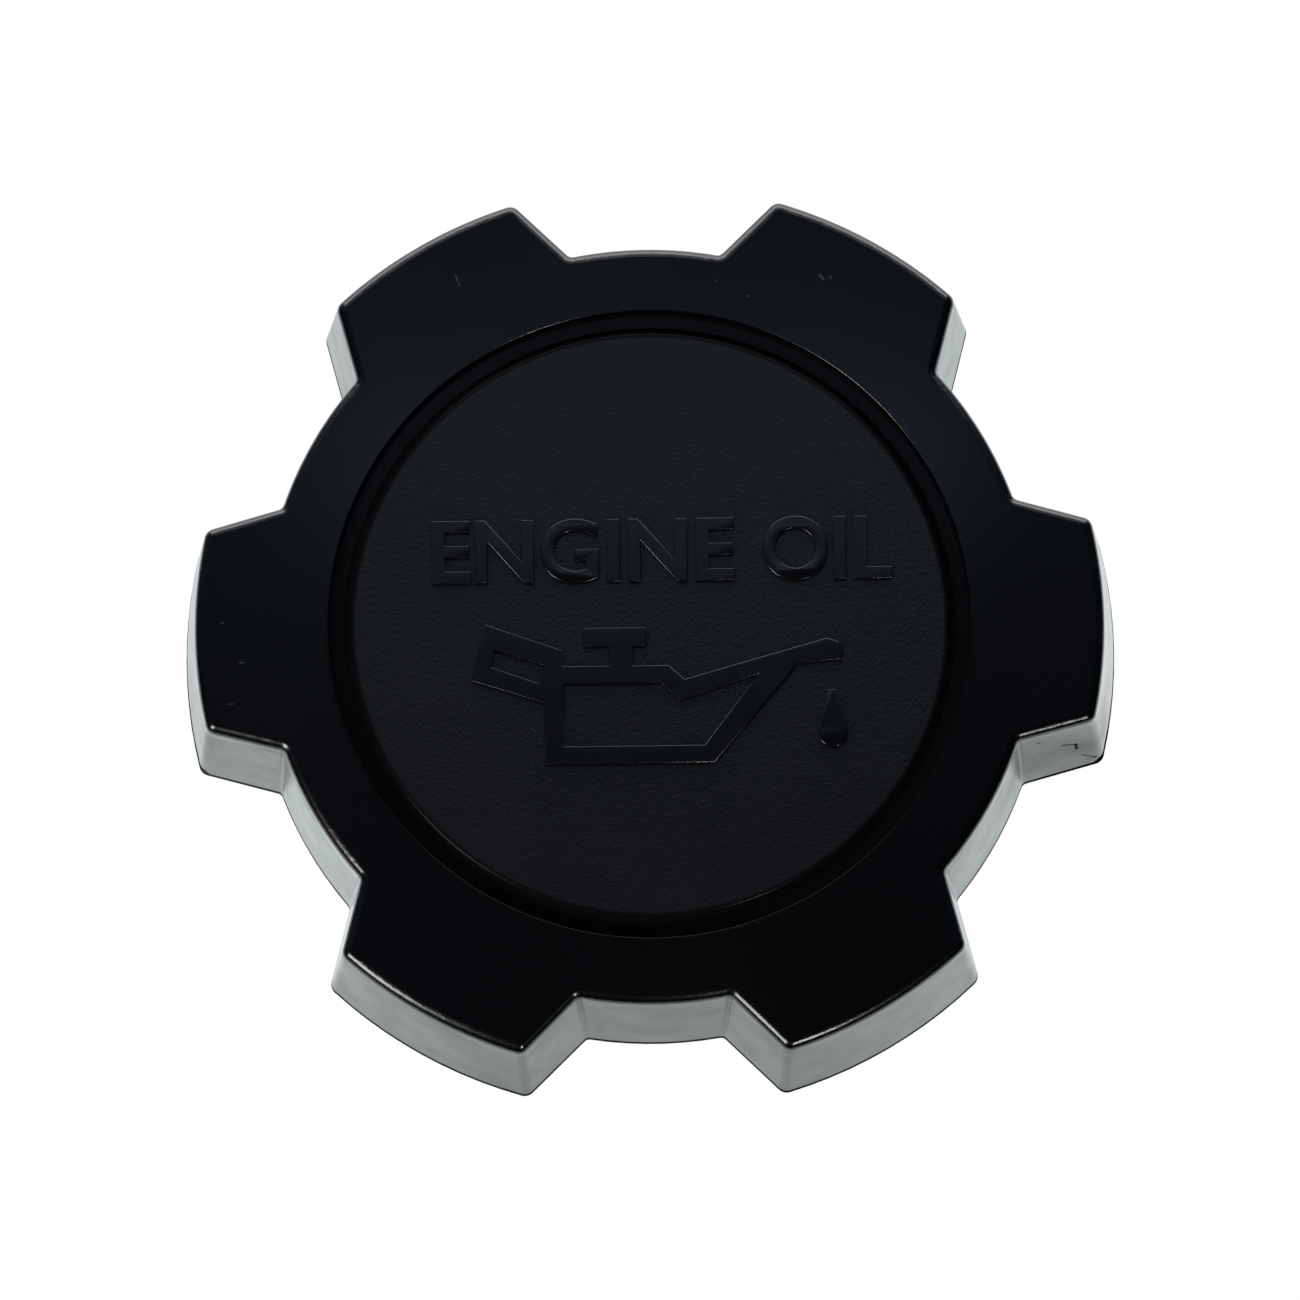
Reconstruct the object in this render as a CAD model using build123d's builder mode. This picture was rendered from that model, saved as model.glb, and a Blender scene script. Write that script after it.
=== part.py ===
from build123d import *
import os
from math import cos, radians, tan

# Screw cap for an engine's oil filler neck, in millimetres.
# Z runs up the axis of its screw plug, and the cap stands on the plug's end at Z = 0.

# Screw plug, sized by the neck that it closes
plug_radius = 17.2      # at the foot of the thread
plug_wall = 3.0
plug_reach = 14.0       # from the skirt's lower edge down to the plug's end
plug_lead = 1.2         # chamfer that finds the neck
plug_relief = 0.6       # how far the plug steps in behind its thread, where the ring sits
relief_gap = 1.0        # from the sealing ring down to the thread
hollow_corner = 1.5     # round at the closed end of the plug's hollow

# Sealing ring, slipped over the plug
seal_width = 6.25
seal_thickness = 3.0
seal_edge = 0.7
seal_clearance = 0.15   # to the plug inside it and to the collar around it

# Collar that keeps the sealing ring from spreading
collar_wall = 1.5
collar_depth = 1.8
neck_gap = 2.1          # from the collar to the skirt's inside, at the skirt's lower edge

# Lobed skirt, given at its lower edge
wall = 2.2
skirt_height = 12.0     # up to the flat of the top
draft = 4.3             # degrees that the wall of a finger notch leans in towards the top
lobe_count = 6
lobe_draft = 5.4        # degrees that a lobe's own walls lean in
lobe_reach = 5.15       # how far a lobe stands out of the finger notches
lobe_width = 16.1       # across a lobe's end
flank_angle = 15.5      # degrees that a lobe narrows on each side
tip_corner = 0.85
root_corner = 0.5
inner_corner = 1.0
top_edge = 0.72
lower_edge = 0.3

# Top plate, with a round centre disc inside a moulded groove
plate = 3.0
rim_width = 4.7         # from the groove to the finger notches
crown_angle = 3.6       # degrees that the rim falls away from the groove
groove_width = 1.65
groove_depth = 1.1
groove_lean = 8.0       # degrees that the groove's outer side leans
disc_lean = 35.0        # degrees that the disc's own side leans
groove_edge = 0.07      # crisp outer rim of the groove
disc_edge = 0.3         # softer rim of the disc
disc_drop = 0.4         # how far the disc lies below the rim, which guards the raised marks on it

# Stiffening web inside each lobe
web_width = 1.6
web_depth = 6.0

# Radii, from the plug outwards
hollow_radius = plug_radius - plug_wall
seat_radius = plug_radius - plug_relief
seal_inside = seat_radius + seal_clearance
seal_outside = seal_inside + seal_width
collar_inside = seal_outside + seal_clearance
collar_outside = collar_inside + collar_wall
root_radius = collar_outside + neck_gap + wall
tip_radius = root_radius + lobe_reach
draft_slope = tan(radians(draft))
lobe_slope = tan(radians(lobe_draft))
groove_outside = root_radius - skirt_height * draft_slope - rim_width
disc_radius = groove_outside - groove_width
crown_fall = (tip_radius - groove_outside) * tan(radians(crown_angle))
web_inside = collar_inside + collar_wall / 2
web_outside = tip_radius - (skirt_height - plate) * lobe_slope - wall / 2

# Heights, from the plug's end upwards
skirt_level = plug_reach
top_level = skirt_level + skirt_height
plate_level = top_level - plate
seal_level = plate_level - seal_thickness
thread_level = seal_level - relief_gap
collar_level = plate_level - collar_depth
groove_level = top_level - groove_depth
disc_level = top_level - disc_drop


def lobed_block(inset, height, tip_round, root_round):
    """Solid drafted block of the lobed outline, set in from the skirt's outside."""
    root = root_radius - inset
    tip = tip_radius - inset
    flank = radians(flank_angle)
    tip_half = lobe_width / 2 + inset * (tan(flank) - 1 / cos(flank))
    base_half = tip_half + tip * tan(flank)
    past_tip = tip + lobe_reach
    past_half = tip_half - lobe_reach * tan(flank)
    half_pitch = 360 / lobe_count / 2
    middle = skirt_level + height / 2
    with BuildPart() as block:
        with Locations((0, 0, middle)):
            Cone(root, root - height * draft_slope, height)
        with BuildSketch(Plane.XY.offset(skirt_level)):
            with PolarLocations(0, lobe_count):
                Polygon((0, -base_half), (past_tip, -past_half), (past_tip, past_half), (0, base_half))
        extrude(amount=height, taper=lobe_draft)
        # This cone ends the lobes, turned half a pitch so that its seam falls in a notch
        with Locations((0, 0, middle)):
            tip_top = tip - height * lobe_slope
            Cone(tip, tip_top, height, rotation=(0, 0, half_pitch), mode=Mode.INTERSECT)
        uprights = block.edges().filter_by(lambda edge: edge.bounding_box().size.Z > height / 2)
        fillet(uprights.sort_by(SortBy.DISTANCE)[:2 * lobe_count], root_round)
        uprights = block.edges().filter_by(lambda edge: edge.bounding_box().size.Z > height / 2)
        fillet(uprights.sort_by(SortBy.DISTANCE)[-2 * lobe_count:], tip_round)
    return block.part


outside = lobed_block(0, skirt_height, tip_corner, root_corner)
inside = lobed_block(wall, skirt_height - plate, inner_corner, inner_corner)

# Web: a gusset that gets deeper towards the end of its lobe
with BuildPart() as web:
    with BuildSketch(Plane.XZ):
        with BuildLine():
            Polyline(
                (web_inside, plate_level),
                (web_outside, plate_level),
                (web_outside, plate_level - web_depth),
                (web_inside, collar_level),
                close=True,
            )
        make_face()
    extrude(amount=web_width / 2, both=True)

# Cap: one moulding of skirt, top plate, plug, collar and webs
with BuildPart() as cap_body:
    add(outside)

    # Rim that falls away a little from the groove, with a rounded edge all round
    with BuildSketch(Plane.XZ):
        with BuildLine():
            Polyline(
                (groove_outside, top_level),
                (tip_radius, top_level),
                (tip_radius, top_level - crown_fall),
                close=True,
            )
        make_face()
    revolve(axis=Axis.Z, mode=Mode.SUBTRACT)
    crown = cap_body.faces().filter_by(GeomType.CONE).sort_by(Axis.Z)[-1]
    fillet(crown.outer_wire().edges(), top_edge)

    # Centre disc, a little below the rim, and the groove around it
    disc_foot = disc_radius + (disc_level - groove_level) * tan(radians(disc_lean))
    rim_foot = groove_outside - groove_depth * tan(radians(groove_lean))
    with BuildSketch(Plane.XZ):
        with BuildLine():
            Polyline(
                (0, top_level),
                (groove_outside, top_level),
                (rim_foot, groove_level),
                (disc_foot, groove_level),
                (disc_radius, disc_level),
                (0, disc_level),
                close=True,
            )
        make_face()
    revolve(axis=Axis.Z, mode=Mode.SUBTRACT)
    circles = cap_body.edges().filter_by(lambda edge: edge.is_closed)
    fillet(circles.group_by(Axis.Z)[-2], disc_edge)
    circles = cap_body.edges().filter_by(lambda edge: edge.is_closed)
    fillet(circles.group_by(Axis.Z)[-1], groove_edge)

    # Inside of the skirt, at an even wall, with its lower edge rounded
    add(inside, mode=Mode.SUBTRACT)
    lower_rim = cap_body.faces().sort_by(Axis.Z)[0]
    fillet(lower_rim.edges(), lower_edge)

    # A web in each lobe, from the collar to the lobe's end
    with PolarLocations(0, lobe_count):
        add(web.part)

    # Collar and plug, hanging from the plate
    with BuildSketch(Plane.XY.offset(plate_level)):
        Circle(collar_outside)
        Circle(collar_inside, mode=Mode.SUBTRACT)
    extrude(amount=-collar_depth)
    with BuildSketch(Plane.XY.offset(plate_level)):
        Circle(seat_radius)
    extrude(amount=-plate_level)
    with BuildSketch(Plane.XY):
        Circle(plug_radius)
    extrude(amount=thread_level)
    plug_end = cap_body.faces().sort_by(Axis.Z)[0]
    chamfer(plug_end.edges(), plug_lead)

    # Hollow of the plug, open at its end and rounded where it meets the plate
    with BuildSketch(Plane.XZ) as hollow:
        Rectangle(hollow_radius, plate_level, align=Align.MIN)
        fillet(hollow.vertices().group_by(Axis.X)[-1].sort_by(Axis.Y)[-1], hollow_corner)
    revolve(axis=Axis.Z, mode=Mode.SUBTRACT)
cap_body.part.label = "cap_body"

# Sealing ring: a flat rubber ring that lies against the plate
with BuildPart() as seal_ring:
    with BuildSketch(Plane.XY.offset(seal_level)):
        Circle(seal_outside)
        Circle(seal_inside, mode=Mode.SUBTRACT)
    extrude(amount=seal_thickness)
    fillet(seal_ring.edges().filter_by(GeomType.CIRCLE), seal_edge)
seal_ring.part.label = "seal_ring"

os.makedirs("parts", exist_ok=True)
export_step(cap_body.part, "parts/cap_body.step")
export_step(seal_ring.part, "parts/seal_ring.step")
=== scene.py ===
import math

import bpy
from mathutils import Matrix, Vector


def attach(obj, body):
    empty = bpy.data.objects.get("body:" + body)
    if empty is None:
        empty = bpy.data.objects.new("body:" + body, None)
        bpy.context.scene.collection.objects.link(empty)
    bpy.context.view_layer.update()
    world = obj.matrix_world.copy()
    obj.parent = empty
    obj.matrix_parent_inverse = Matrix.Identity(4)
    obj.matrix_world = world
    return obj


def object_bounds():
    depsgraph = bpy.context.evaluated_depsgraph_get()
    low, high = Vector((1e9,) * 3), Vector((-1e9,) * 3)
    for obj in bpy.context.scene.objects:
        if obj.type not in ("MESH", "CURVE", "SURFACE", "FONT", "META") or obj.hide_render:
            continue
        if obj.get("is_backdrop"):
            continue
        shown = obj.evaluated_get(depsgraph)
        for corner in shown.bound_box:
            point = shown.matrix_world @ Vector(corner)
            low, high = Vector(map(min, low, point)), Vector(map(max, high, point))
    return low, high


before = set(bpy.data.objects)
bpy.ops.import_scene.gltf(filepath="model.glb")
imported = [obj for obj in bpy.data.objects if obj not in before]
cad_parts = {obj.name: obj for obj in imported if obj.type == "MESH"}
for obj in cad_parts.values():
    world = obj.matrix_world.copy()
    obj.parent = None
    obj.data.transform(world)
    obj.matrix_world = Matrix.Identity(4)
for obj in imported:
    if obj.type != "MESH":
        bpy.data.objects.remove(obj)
cad_low, cad_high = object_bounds()


# Cap moulding
# One black plastic moulding, from a polished mould with a fine grain on the centre disc. Use has left
# scratches on the rim, nicks in one flank and a dull groove; painted shade darkens the skirt's lower
# edge.

millimetre = 0.001


class Wire:
    """A value, colour or vector in a node tree. Sums and products of values add Math nodes."""

    def __init__(self, tree, socket=None):
        self.tree = tree
        self.socket = socket

    def node(self, kind, settings=None, sockets=None, output=0):
        """Adds a node: first its settings, then its sockets' values or wires. Gives one output."""
        made = self.tree.nodes.new(kind)
        for name, value in (settings or {}).items():
            setattr(made, name, value)
        for name, value in (sockets or {}).items():
            if isinstance(value, Wire):
                self.tree.links.new(value.socket, made.inputs[name])
            else:
                made.inputs[name].default_value = value
        return Wire(self.tree, made.outputs[output] if made.outputs else None)

    def math(self, operation, *values):
        return self.node("ShaderNodeMath", {"operation": operation}, dict(enumerate(values)))

    def __add__(self, other):
        return self.math("ADD", self, other)

    def __radd__(self, other):
        return self.math("ADD", other, self)

    def __sub__(self, other):
        return self.math("SUBTRACT", self, other)

    def __rsub__(self, other):
        return self.math("SUBTRACT", other, self)

    def __mul__(self, other):
        return self.math("MULTIPLY", self, other)

    def __rmul__(self, other):
        return self.math("MULTIPLY", other, self)

    def __pow__(self, power):
        return self.math("POWER", self, power)

    def rise(self, low, high):
        """Goes smoothly from 0 where the value is low to 1 where it is high."""
        limits = {"Value": self, "From Min": low, "From Max": high}
        return self.node("ShaderNodeMapRange", {"interpolation_type": "SMOOTHSTEP"}, limits)

    def axes(self):
        """The three parts of a vector."""
        split = self.node("ShaderNodeSeparateXYZ", sockets={"Vector": self})
        return [Wire(self.tree, part) for part in split.socket.node.outputs]

    def noise(self, scale, detail=2.0, roughness=0.5):
        """Soft random values from 0 to 1 over the points that this vector gives."""
        sockets = {"Vector": self, "Scale": scale, "Detail": detail, "Roughness": roughness}
        return self.node("ShaderNodeTexNoise", sockets=sockets, output="Fac")

    def colour(self, first, second):
        """Goes from the first colour to the second as the value goes from 0 to 1."""
        mixed = self.node("ShaderNodeMix", {"data_type": "RGBA"}, {"Factor": self}, "Result")
        inputs = {socket.identifier: socket for socket in mixed.socket.node.inputs}
        inputs["A_Color"].default_value = (*first, 1)
        inputs["B_Color"].default_value = (*second, 1)
        outputs = {socket.identifier: socket for socket in mixed.socket.node.outputs}
        return Wire(self.tree, outputs["Result_Color"])

    def blend(self, first, second):
        """Goes from a wired colour to a plain one as the value goes from 0 to 1."""
        mixed = self.colour((0, 0, 0), second)
        inputs = {socket.identifier: socket for socket in mixed.socket.node.inputs}
        self.tree.links.new(first.socket, inputs["A_Color"])
        return mixed

    def mark(self, first, second, half_width):
        """Goes from 1 on the line between two points, in millimetres, to 0 at half a width beside it."""
        vector_maths = "ShaderNodeVectorMath"
        first = Vector(first) * millimetre
        along = Vector(second) * millimetre - first
        out = self.node(vector_maths, {"operation": "SUBTRACT"}, {0: self, 1: first})
        dot = self.node(vector_maths, {"operation": "DOT_PRODUCT"}, {0: out, 1: along}, "Value")
        settings = {"operation": "DIVIDE", "use_clamp": True}
        share = self.node("ShaderNodeMath", settings, {0: dot, 1: along.length_squared})
        foot = self.node(vector_maths, {"operation": "SCALE"}, {0: along, "Scale": share})
        gap = self.node(vector_maths, {"operation": "DISTANCE"}, {0: out, 1: foot}, "Value")
        return gap.rise(half_width * millimetre, 0)


def new_finish(name):
    """An empty material and a wire to build its nodes with."""
    material = bpy.data.materials.new(name)
    material.use_nodes = True
    material.node_tree.nodes.clear()
    return material, Wire(material.node_tree)


def dress(piece, material):
    """Gives the whole piece one material."""
    piece.data.materials.clear()
    piece.data.materials.append(material)


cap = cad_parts["cap_body"]
disc_level = cap.ray_cast((0, 0, 1), (0, 0, -1))[1].z
top_level = cad_high.z
skirt_level = 0.014

cap_black = (0.0007, 0.0007, 0.0008)
disc_black = (0.0010, 0.0011, 0.0013)
scar_grey = (0.026, 0.028, 0.03)
# Matt black of wear, also used for the painted shade along the skirt's lower edge
wear_and_shade_black = (0.003, 0.003, 0.0031)
plastic_ior = 1.5

# Roughness of the gloss, and what smudges, the disc's grain and scars add to it
gloss_roughness = 0.17
smudge_roughness = 0.08
disc_roughness = 0.1
scar_roughness = 0.3

# Share of the gloss that is lost in each place of wear, and in the painted shade along the lower edge
shade_band_loss = 0.9
disc_rim_loss = 0.95
groove_loss = 0.8
nick_loss = 0.6
dull_loss = 0.28
cloud_loss = 0.12

# Unevenness of the surface: how many bumps go into a metre, and how deep they are
grain_scale = 4200
grain_depth = 0.000026
ripple_scale = 350
ripple_depth = 0.000004
wave_scale = 170
wave_depth = 0.0002
wave_stretch = (1, 1, 0.6)

# Patches of wear and painted shade: how many go into a metre, and the noise at which one starts and is
# fully reached
smudge_scale = 60
scar_scale = 1500
scar_patches = (0.35, 0.55)
shade_band_scale = 400
shade_band_patches = (0.05, 0.3)
cloud_scale = 420
cloud_patches = (0.35, 0.75)

# Radii and heights at which a place starts, and at which it is fully reached
disc_edge = (0.0217, 0.0215)
disc_face = (disc_level - 0.0006, disc_level - 0.0001)
skirt_inside = (0.0255, 0.0265)
below_edge = (top_level - 0.0012, top_level - 0.0022)
plate_face = (top_level - 0.003, top_level - 0.002)
disc_rim_inner = (0.0213, 0.0216)
disc_rim_outer = (0.0223, 0.0221)
groove_rim_inner = (0.0231, 0.0233)
groove_rim_outer = (0.0237, 0.0235)
groove_rim_front = (0.004, -0.004)
groove_inner = (0.0219, 0.0222)
groove_outer = (0.0236, 0.0234)
groove_mouth = (top_level - 0.0005, top_level - 0.0008)
groove_bottom = (top_level - 0.0014, top_level - 0.0012)

# Painted shade on the lower edge: how far up it reaches, more on the dull flank and on two lobes' ends
shade_band_reach = 0.0007
shade_band_more_on_dull = 0.0002
shade_band_more_on_ends = 0.0005
shade_band_fade = 0.0002
side_lobes_squared = (0.0315 ** 2, 0.0325 ** 2)
lobe_ends = (0.0334, 0.0338)

# Pale scars on the rim and dark nicks in one flank: two ends and half the width of each, in millimetres
scars = [
    ((-13.86, 26.24, 25.6), (-13.57, 25.46, 25.65), 0.09),
    ((12.75, 25.9, 25.65), (13.0, 25.6, 25.66), 0.15),
    ((13.5, 25.75, 25.65), (13.6, 25.7, 25.66), 0.11),
    ((5.05, 25.7, 25.83), (5.22, 25.5, 25.83), 0.10),
    ((7.49, 24.4, 25.87), (7.51, 24.3, 25.87), 0.10),
    ((-31.16, 0.48, 25.51), (-30.96, 0.48, 25.51), 0.07),
    ((-30.28, 0.52, 25.57), (-30.24, 0.42, 25.57), 0.08),
    ((-29.8, -2.52, 25.59), (-29.51, -2.53, 25.61), 0.07),
    ((-30.98, -5.6, 25.49), (-30.26, -5.55, 25.53), 0.05),
    ((-26.76, -0.9, 25.79), (-26.72, -1.06, 25.79), 0.06),
    ((-8.72, -7.65, 25.6), (-8.45, -7.83, 25.6), 0.07),
    ((2.46, -23.28, 26.0), (5.07, -22.87, 26.0), 0.10),
    ((5.07, -22.87, 26.0), (7.67, -22.31, 26.0), 0.10),
]
nicks = [
    ((29.97, -8.5, 21.12), (30.94, -8.29, 20.46), 0.22),
    ((30.94, -8.29, 20.46), (31.04, -8.38, 19.28), 0.22),
    ((28.12, -8.79, 23.35), (28.2, -8.78, 23.3), 0.25),
    ((31.45, -8.45, 17.46), (32.59, -8.28, 15.91), 0.16),
    ((31.85, -8.47, 16.12), (32.51, -8.3, 15.98), 0.16),
]
dull_patch = ((27.5, -9, 20), (32.5, -8, 19), 6.5)

cap_plastic, start = new_finish("cap_plastic")
place = start.node("ShaderNodeTexCoord", output="Object")
x, y, z = place.axes()
from_axis = (x * x + y * y) ** 0.5
on_disc = from_axis.rise(*disc_edge) * z.rise(*disc_face)
on_skirt = from_axis.rise(*skirt_inside)
on_wall = on_skirt * z.rise(*below_edge)
on_plate = z.rise(*plate_face)

# Scars, nicks, dull places and the painted shade along the lower edge
smudge = place.noise(smudge_scale, detail=4.0)
scarred = sum(place.mark(*scar) for scar in scars) * place.noise(scar_scale).rise(*scar_patches)
nicked = sum(place.mark(*nick) for nick in nicks)
dull = place.mark(*dull_patch)
cloud = place.noise(cloud_scale, detail=3.0, roughness=0.6).rise(*cloud_patches) * on_wall
on_ends = (x * x).rise(*side_lobes_squared) * from_axis.rise(*lobe_ends)
# Painted shade: a dark matt band in uneven patches along the skirt's lower edge, standing in for the
# shade under the cap
torn_height = shade_band_reach + dull * shade_band_more_on_dull + on_ends * shade_band_more_on_ends
painted_shade_band = (z - skirt_level - torn_height).rise(shade_band_fade, 0) * on_skirt
painted_shade_band = painted_shade_band * place.noise(shade_band_scale).rise(*shade_band_patches)
disc_rim = from_axis.rise(*disc_rim_inner) * from_axis.rise(*disc_rim_outer) * on_plate
groove_rim = from_axis.rise(*groove_rim_inner) * from_axis.rise(*groove_rim_outer)
groove_rim = groove_rim * y.rise(*groove_rim_front) * on_plate
in_groove = from_axis.rise(*groove_inner) * from_axis.rise(*groove_outer)
in_groove = in_groove * z.rise(*groove_mouth) * z.rise(*groove_bottom)
wear_and_painted_shade = painted_shade_band * shade_band_loss + disc_rim * disc_rim_loss + (groove_rim + in_groove) * groove_loss
wear_and_painted_shade = wear_and_painted_shade + nicked * nick_loss + dull * dull_loss + cloud * cloud_loss

# Grain of the disc, ripples all over and long waves in the skirt's walls
grain = place.noise(grain_scale, roughness=0.6) * on_disc * grain_depth
ripple = place.noise(ripple_scale) * ripple_depth
stretched = place.node("ShaderNodeVectorMath", {"operation": "MULTIPLY"}, {0: place, 1: wave_stretch})
wave = (stretched.noise(wave_scale, detail=1.5) - 0.5) * on_wall * wave_depth
uneven = {"Strength": 1.0, "Distance": 1.0, "Height": grain + ripple + wave}

black = on_disc.colour(cap_black, disc_black)
roughness = gloss_roughness + smudge * smudge_roughness
roughness = roughness + on_disc * disc_roughness + scarred * scar_roughness
gloss = start.node("ShaderNodeBsdfPrincipled", sockets={
    "Base Color": scarred.math("MINIMUM", scarred, 1).blend(black, scar_grey),
    "Roughness": roughness,
    "IOR": plastic_ior,
    "Normal": start.node("ShaderNodeBump", sockets=uneven),
})
matt_wear_and_shade = start.node("ShaderNodeBsdfDiffuse", sockets={"Color": (*wear_and_shade_black, 1)})
finish = start.node("ShaderNodeMixShader", sockets={0: wear_and_painted_shade, 1: gloss, 2: matt_wear_and_shade})
start.node("ShaderNodeOutputMaterial", sockets={"Surface": finish})
dress(cap, cap_plastic)


# Sealing ring
# A flat ring of matt black rubber, cut from a moulded tube. It is slipped over the plug, up against the
# plate, and the collar keeps it from spreading.

rubber_black = (0.018, 0.018, 0.018)
rubber_bloom = (0.032, 0.031, 0.03)
rubber_roughness = 0.55
bloom_roughness = 0.25
bloom_scale = 250
skin_scale = 2500
skin_depth = 0.00002


def finish_with(start, sockets):
    """Ends a material in a Principled shader with these sockets."""
    shader = start.node("ShaderNodeBsdfPrincipled", sockets=sockets)
    start.node("ShaderNodeOutputMaterial", sockets={"Surface": shader})


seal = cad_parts["seal_ring"]
seal_rubber, start = new_finish("seal_rubber")
place = start.node("ShaderNodeTexCoord", output="Object")
bloom = place.noise(bloom_scale, detail=3.0)
skin = {"Strength": 1.0, "Distance": skin_depth, "Height": place.noise(skin_scale)}
finish_with(start, {
    "Base Color": bloom.colour(rubber_black, rubber_bloom),
    "Roughness": rubber_roughness + bloom * bloom_roughness,
    "Normal": start.node("ShaderNodeBump", sockets=skin),
})
dress(seal, seal_rubber)


# Screw thread
# A coarse right-hand ridge that screws into the filler neck. It is moulded on the plug, of the same
# plastic, and runs out into it at both ends.

plug_radius = 0.0172
thread_crest = 0.0185
thread_pitch = 0.005
thread_low = 0.0032
thread_turns = 2.4
thread_root_width = 0.0030
thread_crest_width = 0.0011
thread_edge = 0.0003
thread_sink = 0.0003
run_out_turns = 0.12
steps_per_turn = 120

# The ridge's outline, from a plane that loses its face and gets rounded corners
bpy.ops.object.select_all(action="DESELECT")
bpy.ops.mesh.primitive_plane_add(size=1)
thread = bpy.context.object
thread.name = "screw_thread"
thread_foot = plug_radius - thread_sink
corners = [
    (thread_foot, 0, -thread_root_width / 2),
    (thread_crest, 0, -thread_crest_width / 2),
    (thread_crest, 0, thread_crest_width / 2),
    (thread_foot, 0, thread_root_width / 2),
]
around = sorted(thread.data.vertices, key=lambda point: math.atan2(point.co.y, point.co.x))
for point, corner in zip(around, corners):
    point.co = corner
bpy.ops.object.mode_set(mode="EDIT")
bpy.ops.mesh.select_all(action="SELECT")
bpy.ops.mesh.delete(type="ONLY_FACE")
bpy.ops.mesh.select_all(action="SELECT")
bpy.ops.mesh.bevel(offset=thread_edge, segments=3, affect="VERTICES")
bpy.ops.object.mode_set(mode="OBJECT")
profile_points = len(thread.data.vertices)

# The outline wound up the plug, and sunk into it at both ends
steps = round(thread_turns * steps_per_turn)
screw = thread.modifiers.new("ridge", "SCREW")
screw.axis = "Z"
screw.angle = thread_turns * 2 * math.pi
screw.screw_offset = thread_turns * thread_pitch
screw.steps = screw.render_steps = steps
screw.use_smooth_shade = True
bpy.ops.object.modifier_apply(modifier="ridge")
for number, point in enumerate(thread.data.vertices):
    step = number // profile_points
    height_share = min(1, min(step, steps - step) / (run_out_turns * steps_per_turn))
    radius = math.hypot(point.co.x, point.co.y)
    sunk = (thread_foot + (radius - thread_foot) * height_share) / radius
    point.co = (point.co.x * sunk, point.co.y * sunk, point.co.z + thread_low)
bpy.ops.object.mode_set(mode="EDIT")
bpy.ops.mesh.select_all(action="SELECT")
bpy.ops.mesh.remove_doubles(threshold=1e-7)
bpy.ops.mesh.normals_make_consistent(inside=False)
bpy.ops.object.mode_set(mode="OBJECT")
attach(thread, "root")
dress(thread, cap_plastic)


# Raised words
# They say what goes in, in a plain stock typeface. They stand up from the disc as part of the moulding,
# with smooth tops and rounded edges.

mark_rise = 0.00035
mark_round = 0.00007
mark_round_steps = 3
mark_sink = 0.00005
mark_smooth_angle = math.radians(35)
mark_smudge_scale = 300
mark_smudge_roughness = 0.1
word_height = 0.0048
word_foot = 0.00302
word_weight = 0.00010
words = {"ENGINE": (-0.01577, 0.02203), "OIL": (0.00829, 0.00942)}


def stand_on_disc(piece):
    """Turns a curve into a mesh, cuts off what lies inside the disc and gives it its finish."""
    bpy.ops.object.select_all(action="DESELECT")
    piece.select_set(True)
    bpy.context.view_layer.objects.active = piece
    bpy.ops.object.convert(target="MESH")
    piece = bpy.context.object
    bpy.ops.object.transform_apply(location=True, rotation=True, scale=True)
    bpy.ops.object.mode_set(mode="EDIT")
    bpy.ops.mesh.select_all(action="SELECT")
    bpy.ops.mesh.remove_doubles(threshold=1e-6)
    bpy.ops.mesh.bisect(
        plane_co=(0, 0, disc_level - mark_sink), plane_no=(0, 0, 1), clear_inner=True, use_fill=True
    )
    bpy.ops.mesh.select_all(action="SELECT")
    bpy.ops.mesh.normals_make_consistent(inside=False)
    bpy.ops.object.mode_set(mode="OBJECT")
    bpy.ops.object.shade_smooth_by_angle(angle=mark_smooth_angle)
    even = piece.modifiers.new("even_tops", "WEIGHTED_NORMAL")
    even.keep_sharp = True
    bpy.ops.object.modifier_apply(modifier="even_tops")
    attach(piece, "root")
    dress(piece, mark_plastic)


mark_plastic, start = new_finish("mark_plastic")
place = start.node("ShaderNodeTexCoord", output="Object")
smudge = place.noise(mark_smudge_scale, detail=3.0)
finish_with(start, {
    "Base Color": smudge.colour(cap_black, disc_black),
    "Roughness": gloss_roughness + smudge * mark_smudge_roughness,
    "IOR": plastic_ior,
})

for word, (word_left, word_width) in words.items():
    bpy.ops.object.select_all(action="DESELECT")
    bpy.ops.object.text_add()
    text = bpy.context.object
    text.name = "word_" + word.lower()
    text.data.body = word
    bpy.context.view_layer.update()
    low = Vector(text.bound_box[0])
    high = Vector(text.bound_box[6])
    edge = mark_round + word_weight
    scale_x = (word_width - 2 * edge) / (high.x - low.x)
    scale_y = (word_height - 2 * edge) / (high.y - low.y)
    text.data.offset = word_weight / scale_y
    text.data.extrude = (mark_rise - mark_round) / scale_y
    text.data.bevel_depth = mark_round / scale_y
    text.data.bevel_resolution = mark_round_steps
    text.scale = (scale_x, scale_y, scale_y)
    text.location = (word_left + edge - low.x * scale_x, word_foot + edge - low.y * scale_y, disc_level)
    stand_on_disc(text)


# Oil can sign
# The usual sign for oil, a long-spouted can with a drop. It is raised from the disc like the words, as
# part of the same moulding.

can_outline = [
    (-11.95, 0.02), (-6.35, -1.98), (-6.35, -3.18), (-3.00, -3.18), (-3.00, -1.73), (-4.80, -1.73),
    (-4.80, -0.33), (-0.25, -0.33), (-0.25, -1.73), (-1.25, -1.73), (-1.25, -3.18), (1.35, -3.18),
    (2.50, -4.23), (12.85, -1.30), (13.60, -1.52), (14.02, -2.05), (13.90, -2.90), (10.60, -3.18),
    (10.35, -3.63), (4.60, -10.43), (-7.70, -10.43), (-7.70, -5.88), (-12.95, -4.18),
]
can_inside = [(-6.30, -4.48), (0.75, -4.48), (2.15, -5.78), (7.85, -3.93), (3.90, -9.13), (-6.30, -9.13)]
handle_inside = [(-11.25, -1.93), (-7.70, -3.08), (-8.05, -4.43), (-11.50, -3.18)]

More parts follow.
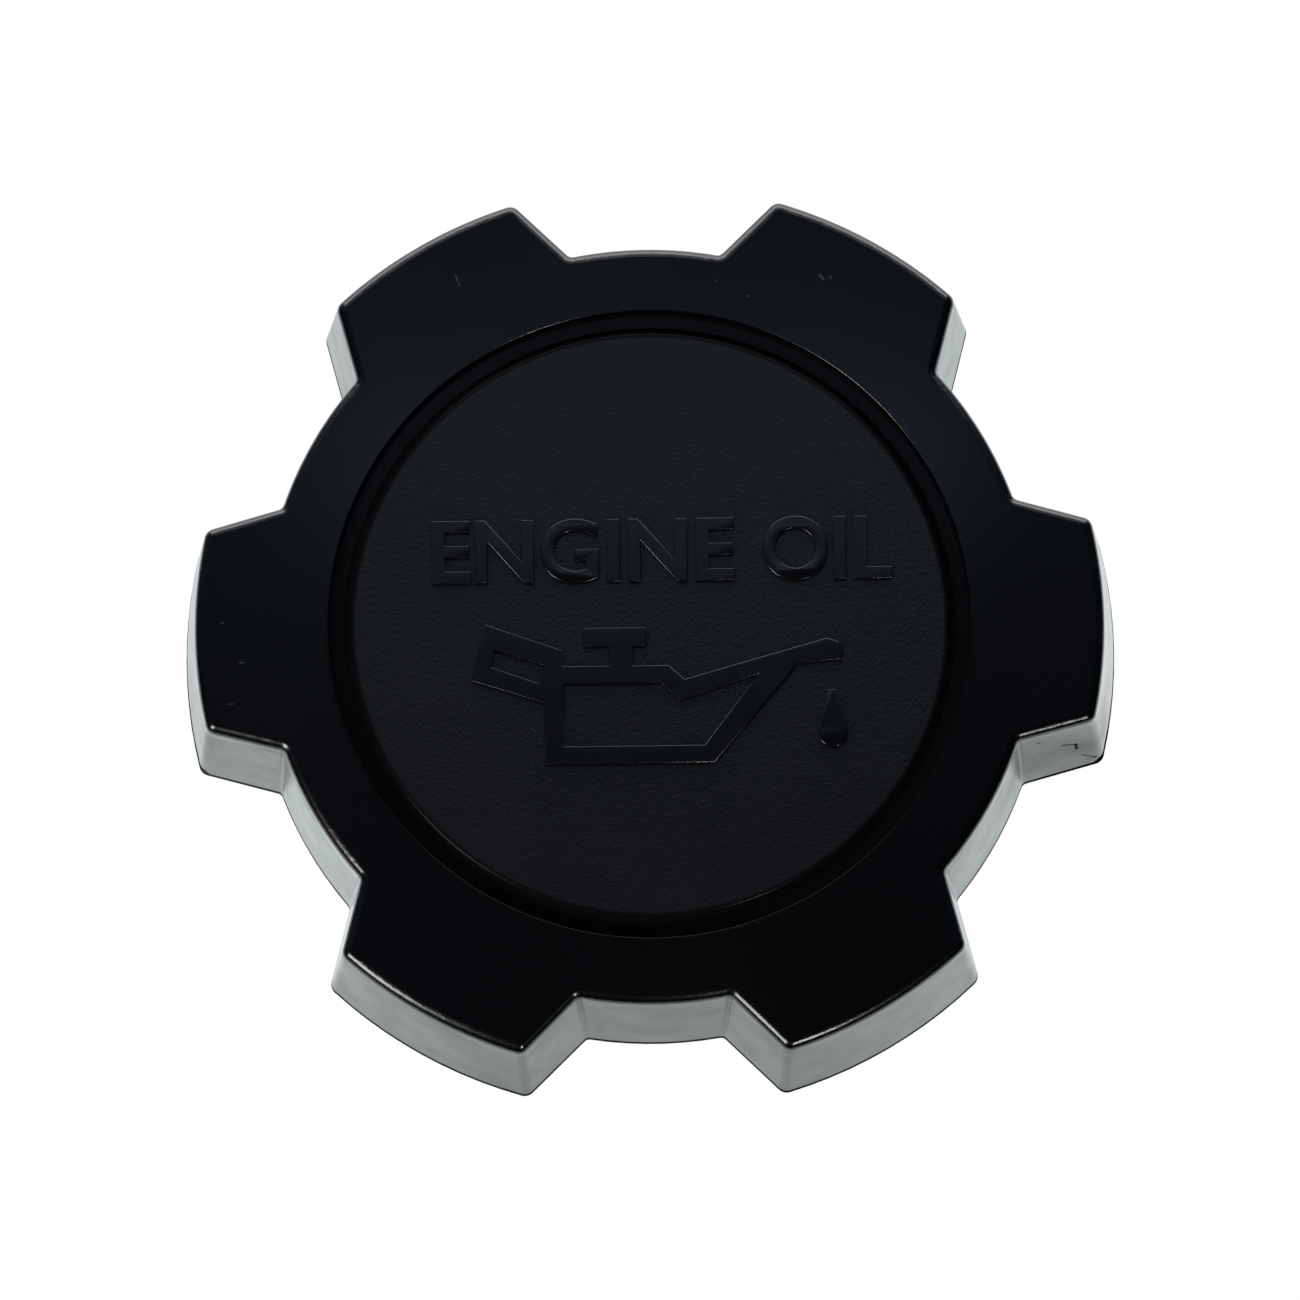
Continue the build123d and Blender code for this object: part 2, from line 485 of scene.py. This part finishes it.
# The drop is a blunt point above most of a circle, in millimetres and degrees
drop_x = 13.2
drop_y = -8.3
drop_radius = 1.08
drop_top = -5.12
drop_neck = 0.25
drop_first_turn = 25
drop_round_turn = 230
drop_steps = 24


def flat_sign(name, outlines):
    """A flat curve of straight-sided outlines, given in millimetres from the disc's centre."""
    data = bpy.data.curves.new(name, "CURVE")
    data.dimensions = "2D"
    data.fill_mode = "BOTH"
    for outline in outlines:
        spline = data.splines.new("POLY")
        spline.points.add(len(outline) - 1)
        for point, (across, up) in zip(spline.points, outline):
            point.co = (across * millimetre, up * millimetre, 0, 1)
        spline.use_cyclic_u = True
    data.offset = -mark_round
    data.extrude = mark_rise - mark_round
    data.bevel_depth = mark_round
    data.bevel_resolution = mark_round_steps
    sign = bpy.data.objects.new(name, data)
    bpy.context.scene.collection.objects.link(sign)
    sign.location.z = disc_level
    return sign


stand_on_disc(flat_sign("oil_can_sign", [can_outline, can_inside, handle_inside]))

drop_outline = [(drop_x - drop_neck, drop_top), (drop_x + drop_neck, drop_top)]
for number in range(drop_steps + 1):
    turn = math.radians(drop_first_turn - drop_round_turn * number / drop_steps)
    drop_outline.append((drop_x + drop_radius * math.cos(turn), drop_y + drop_radius * math.sin(turn)))
stand_on_disc(flat_sign("oil_drop_sign", [drop_outline]))


# Floor
# A plain white sheet under the cap, clear when seen from below, white to the camera, with a soft shadow.
# To mirrors it glows, with painted reflections: brighter to the sides and in two patches by the cap.

floor_size = 0.2
floor_gap = 0.00001
floor_white = (0.85, 0.85, 0.85, 1)
white_share = 0.985
sheet_middle = (0.96, 1.05, 1.05)
# Painted reflections: the sheet's glow in mirrors is brighter to its sides and in two patches beside the
# cap
painted_brighter_sides = (1.17, 1.27, 1.27)
painted_sides_half_width = 0.03
painted_left_glow = (1.40, 1.53, 1.52)
painted_left_glow_place = ((-31, -18, 0), (-30, -18, 0), 14)
painted_right_glow = (1.44, 1.51, 1.47)
painted_right_glow_place = ((42, -8, 0), (42, 12, 0), 10)

bpy.ops.object.select_all(action="DESELECT")
bpy.ops.mesh.primitive_plane_add(size=floor_size, location=(0, 0, cad_low.z - floor_gap))
floor = bpy.context.object
floor.name = "floor"
floor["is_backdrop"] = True
paper, start = new_finish("paper")
ray = start.node("ShaderNodeLightPath")
to_camera = Wire(ray.tree, ray.socket.node.outputs["Is Camera Ray"])
to_mirror = Wire(ray.tree, ray.socket.node.outputs["Is Glossy Ray"])
place = start.node("ShaderNodeTexCoord", output="Object")
x = place.axes()[0]
# Painted reflections: the glow that mirrors see is brighter to the sides and in two patches, for the
# skirt's walls
painted_reflection_glow = (x * x).rise(0, painted_sides_half_width ** 2).colour(sheet_middle, painted_brighter_sides)
painted_reflection_glow = place.mark(*painted_left_glow_place).blend(painted_reflection_glow, painted_left_glow)
painted_reflection_glow = place.mark(*painted_right_glow_place).blend(painted_reflection_glow, painted_right_glow)
painted_reflection_glow = to_camera.blend(painted_reflection_glow, (1, 1, 1))
seen = to_camera.math("MAXIMUM", to_camera, to_mirror)
matt = start.node("ShaderNodeBsdfDiffuse", sockets={"Color": floor_white})
glow = start.node("ShaderNodeEmission", sockets={"Color": painted_reflection_glow, "Strength": 1.0})
sheet = start.node("ShaderNodeMixShader", sockets={0: seen * white_share, 1: matt, 2: glow})
from_below = start.node("ShaderNodeNewGeometry", output="Backfacing")
clear = start.node("ShaderNodeBsdfTransparent")
one_sided = start.node("ShaderNodeMixShader", sockets={0: from_below, 1: sheet, 2: clear})
start.node("ShaderNodeOutputMaterial", sockets={"Surface": one_sided})
dress(floor, paper)


# Light
# A studio with a dim ceiling and a bright wall low behind, so that black plastic stays black and its back
# edges are light. Two soft lamps in front draw the streaks on the rounded edges.

ceiling_level = 0.013
overhead_level = 0.095
overhead_least_share = 0.65
overhead_more_left = 0.7
wall_level = 0.85
wall_foot_level = 1.3
ceiling_blue = (0.68, 0.95, 1.4)
wall_white = (1.0, 1.0, 1.0)

# Directions in which a part of the studio starts, and in which it is fully reached
overhead_depth = (-0.02, 0.48)
overhead_left = (0.3, -0.3)
wall_depth = (0.45, 0.75)
wall_sides_squared = (0.7 ** 2, 0.45 ** 2)
wall_foot = (0.2, 0.0)

scene = bpy.context.scene
world = bpy.data.worlds.new("studio")
scene.world = world
world.use_nodes = True
world.node_tree.nodes.clear()
start = Wire(world.node_tree)
towards = start.node("ShaderNodeTexCoord", output="Generated")
x, y, z = towards.axes()
left_share = overhead_least_share + x.rise(*overhead_left) * overhead_more_left
overhead = y.rise(*overhead_depth) * overhead_level * left_share
behind = y.rise(*wall_depth) * (x * x).rise(*wall_sides_squared)
level = ceiling_level + overhead + behind * (wall_level + z.rise(*wall_foot) * wall_foot_level)
tint = behind.colour(ceiling_blue, wall_white)
ray = start.node("ShaderNodeLightPath")
seen = Wire(ray.tree, ray.socket.node.outputs["Is Camera Ray"])
sky = start.node("ShaderNodeBackground", sockets={"Color": tint, "Strength": level})
backdrop = start.node("ShaderNodeBackground", sockets={"Color": (1, 1, 1, 1), "Strength": 1.0})
both = start.node("ShaderNodeMixShader", sockets={0: seen, 1: sky, 2: backdrop})
start.node("ShaderNodeOutputWorld", sockets={"Surface": both})


def softbox(name, azimuth, elevation, distance, width, height, power, colour=(1, 1, 1)):
    """An area lamp aimed at the cap. Azimuth 0 is in front of it, and 90 to its right."""
    turn = math.radians(azimuth)
    lift = math.radians(elevation)
    flat = math.cos(lift)
    direction = Vector((math.sin(turn) * flat, -math.cos(turn) * flat, math.sin(lift)))
    data = bpy.data.lights.new(name, "AREA")
    data.shape = "RECTANGLE"
    data.size = width
    data.size_y = height
    data.energy = power
    data.color = colour
    lamp = bpy.data.objects.new(name, data)
    lamp.location = Vector((0, 0, disc_level)) + direction * distance
    lamp.rotation_mode = "QUATERNION"
    lamp.rotation_quaternion = direction.to_track_quat("Z", "Y")
    scene.collection.objects.link(lamp)


softbox("left_lamp", azimuth=-52, elevation=34, distance=0.6, width=0.19, height=0.32, power=3.0)
softbox("right_lamp", azimuth=24.5, elevation=34, distance=0.6, width=0.05, height=0.2, power=1.0)
softbox("back_panel", azimuth=180, elevation=17, distance=0.35, width=0.5, height=0.15, power=0.94)
softbox(
    "top_panel", azimuth=180, elevation=70, distance=0.16, width=0.08, height=0.02, power=0.003,
    colour=(0.76, 0.95, 1.3),
)


# Camera
# It looks down on the cap from almost straight above, through a long lens. The middle of the cap's top
# lies a little above the middle of the picture.

camera_tilt = math.radians(12.516)
camera_turn = math.radians(0.609)
camera_roll = math.radians(-1.355)
camera_distance = 1.0
picture_pixels = 1300
pixels_per_millimetre = 13.77
top_column = 649.5
top_row = 622.3

frame_width = picture_pixels / pixels_per_millimetre * millimetre
top_above_middle = (picture_pixels / 2 - top_row) / pixels_per_millimetre * millimetre
top_left_of_middle = (picture_pixels / 2 - top_column) / pixels_per_millimetre * millimetre
camera_data = bpy.data.cameras.new("camera")
camera_data.sensor_width = 36
camera_data.lens = camera_data.sensor_width * camera_distance / frame_width
camera = bpy.data.objects.new("camera", camera_data)
scene.collection.objects.link(camera)
tilted = Matrix.Rotation(camera_turn, 3, "Z") @ Matrix.Rotation(camera_tilt, 3, "X")
turned = tilted @ Matrix.Rotation(camera_roll, 3, "Z")
right, up, back = turned.col
middle = Vector((0, 0, cad_high.z)) - up * top_above_middle + right * top_left_of_middle
camera.location = middle + back * camera_distance
camera.rotation_euler = turned.to_euler()
camera_data.clip_start = 0.01
camera_data.clip_end = 20
scene.camera = camera

scene.view_settings.view_transform = "Standard"

low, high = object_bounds()
